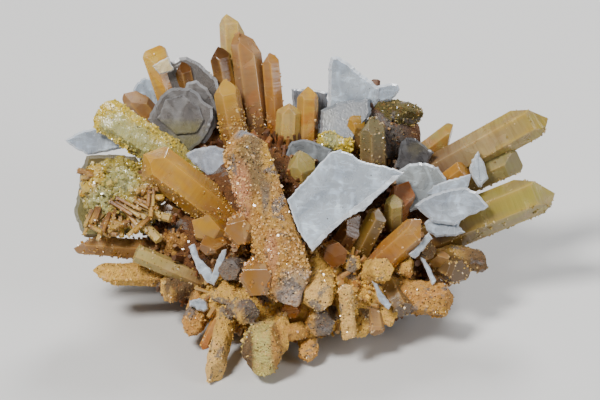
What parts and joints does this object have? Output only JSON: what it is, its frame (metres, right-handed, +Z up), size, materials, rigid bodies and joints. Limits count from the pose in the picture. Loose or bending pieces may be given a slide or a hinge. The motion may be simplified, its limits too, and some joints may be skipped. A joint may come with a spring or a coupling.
{
  "type": "rhombohedral calcite on quartz",
  "caption": "Cabinet mineral specimen: radiating iron-stained quartz crystals on a flat-bottomed matrix, with pale sharp-edged calcite plates seated between them.",
  "frame": {"origin": "on the flat broken underside that the specimen stands on, under the middle of the cluster", "axes": "+X to the right across the specimen's width as displayed, +Y away from the viewer, +Z up"},
  "size_m": [0.1222, 0.0899, 0.0619],
  "materials": {
    "quartz": "golden to orange-brown translucent quartz, glossy faces with fine cross striations, partly crusted with sparkling granular druse",
    "calcite": "pale blue-grey translucent calcite, satin cleavage faces with bright sharp rims"
  },
  "bodies": {
    "root": {"quartz_cluster": "quartz", "calcite_central_blade": "calcite", "calcite_shadow_blade": "calcite", "calcite_tall_blade": "calcite", "calcite_far_plate": "calcite", "calcite_round_plates": "calcite", "calcite_blue_plate": "calcite", "calcite_spear": "calcite", "calcite_left_plate": "calcite", "calcite_low_plate": "calcite", "calcite_upper_grey_plate": "calcite", "calcite_side_plate": "calcite", "calcite_right_blades": "calcite", "calcite_arrowhead": "calcite", "calcite_v_blades": "calcite", "calcite_white_chip": "calcite", "calcite_small_blade": "calcite", "calcite_needle": "calcite", "calcite_front_sliver": "calcite", "calcite_window_rhomb": "calcite", "calcite_far_blade": "calcite", "calcite_far_rhomb": "calcite", "calcite_far_low_plate": "calcite"}
  },
  "joints": []
}
